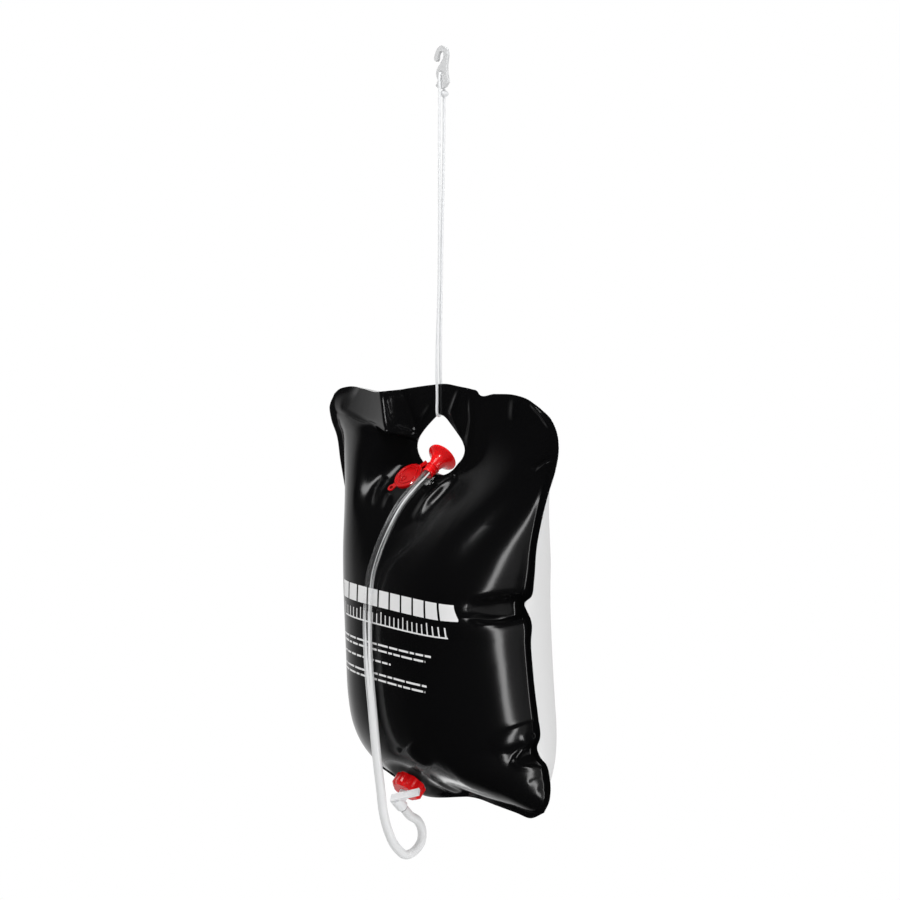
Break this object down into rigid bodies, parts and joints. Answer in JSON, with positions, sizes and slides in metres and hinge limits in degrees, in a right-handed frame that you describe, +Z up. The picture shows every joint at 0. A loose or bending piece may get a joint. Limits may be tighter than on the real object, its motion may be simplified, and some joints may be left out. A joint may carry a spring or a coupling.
{
  "type": "portable shower",
  "caption": "Portable camp shower: a black-fronted welded water bag hung from a hook by a cord loop, with a capped filler, a lever tap, a clear hose and a red rose.",
  "frame": {"origin": "the point inside the top of the hook's bend that rests on a branch, a peg or a line", "axes": "+Z up along the rope, -Y out of the bag's black front, +X to the right of someone who faces that front"},
  "size_m": [0.4143, 0.2605, 1.0792],
  "materials": {
    "white_plastic": "gloss",
    "white_cord": "matt",
    "black_pvc": "gloss",
    "clear_pvc": "gloss",
    "clear_hose": "gloss",
    "black_plastic": "satin",
    "red_plastic": "gloss",
    "rubber": "matt"
  },
  "bodies": {
    "hook": {"hook": "white_plastic"},
    "rope": {"rope": "white_cord", "rope_knot": "white_cord"},
    "bag": {"bag_front_sheet": "black_pvc", "bag_back_sheet": "clear_pvc", "filler_neck": "black_plastic", "filler_strap": "red_plastic", "outlet_spout": "black_plastic", "outlet_gasket": "rubber", "outlet_nut": "red_plastic", "tap_body": "white_plastic", "hose": "clear_hose", "rose_horn": "red_plastic", "rose_plate": "white_plastic"},
    "cap": {"filler_cap": "red_plastic"},
    "lever": {"tap_lever": "white_plastic", "tap_plug": "white_plastic", "tap_o_ring": "rubber"}
  },
  "joints": [
    {"name": "rope_swing", "type": "hinge", "parent": "hook", "child": "rope", "pos_m": [0.0016, 0, -0.0282], "axis": [0, 1, 0], "range_deg": [-30, 30]},
    {"name": "bag_tilt", "type": "hinge", "parent": "rope", "child": "bag", "pos_m": [-0.004, 0, -0.48355], "axis": [0, 1, 0], "range_deg": [-12, 12]},
    {"name": "cap_flip", "type": "hinge", "parent": "bag", "child": "cap", "pos_m": [-0.02039, -0.00531, -0.54646], "axis": [-0.829, 0.3954, 0.3954], "range_deg": [0, 110]},
    {"name": "lever_turn", "type": "hinge", "parent": "bag", "child": "lever", "pos_m": [0, -0.0819, -0.99171], "axis": [0, 0.6947, -0.7193], "range_deg": [0, 90]}
  ]
}
